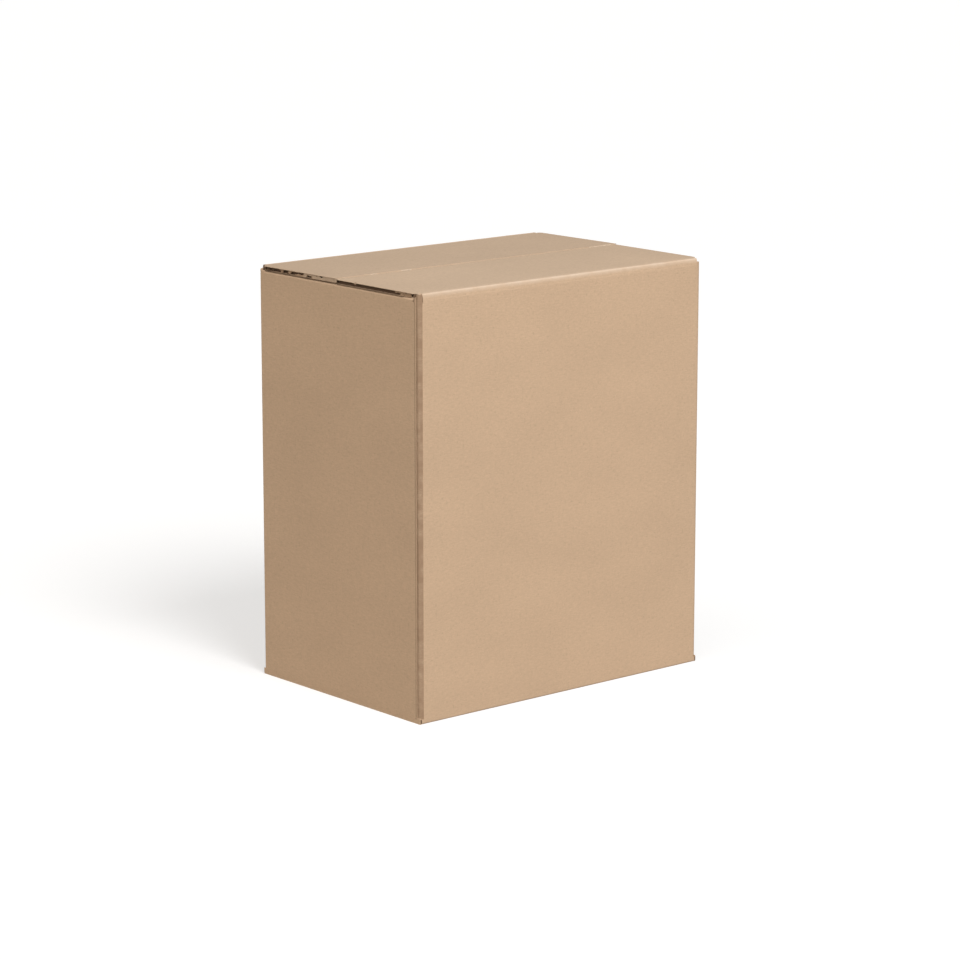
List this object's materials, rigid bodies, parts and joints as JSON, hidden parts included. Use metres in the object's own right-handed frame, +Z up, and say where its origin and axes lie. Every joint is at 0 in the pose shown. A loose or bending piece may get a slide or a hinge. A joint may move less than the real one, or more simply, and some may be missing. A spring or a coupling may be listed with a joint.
{
  "type": "beer bottle carton",
  "caption": "Closed slotted carton of plain kraft corrugated board for bottles, with a slotted partition inside and outer top flaps that open.",
  "frame": {"origin": "on the floor under the middle of the carton", "axes": "+X along the long panels, +Y from the front panel to the rear one, +Z up"},
  "size_m": [0.222, 0.151, 0.2535],
  "materials": {
    "kraft_board": "matte, unbleached kraft liner",
    "partition_board": "matte, solid board"
  },
  "bodies": {
    "box": {"carton": "kraft_board", "long_divider": "partition_board", "cross_divider_left": "partition_board", "cross_divider_right": "partition_board"},
    "front_flap": {"front_top_flap": "kraft_board"},
    "rear_flap": {"rear_top_flap": "kraft_board"}
  },
  "joints": [
    {"name": "front_flap_fold", "type": "hinge", "parent": "box", "child": "front_flap", "pos_m": [0, -0.0755, 0.253], "axis": [1, 0, 0], "range_deg": [0, 265]},
    {"name": "rear_flap_fold", "type": "hinge", "parent": "box", "child": "rear_flap", "pos_m": [0, 0.0755, 0.253], "axis": [-1, 0, 0], "range_deg": [0, 265]}
  ]
}
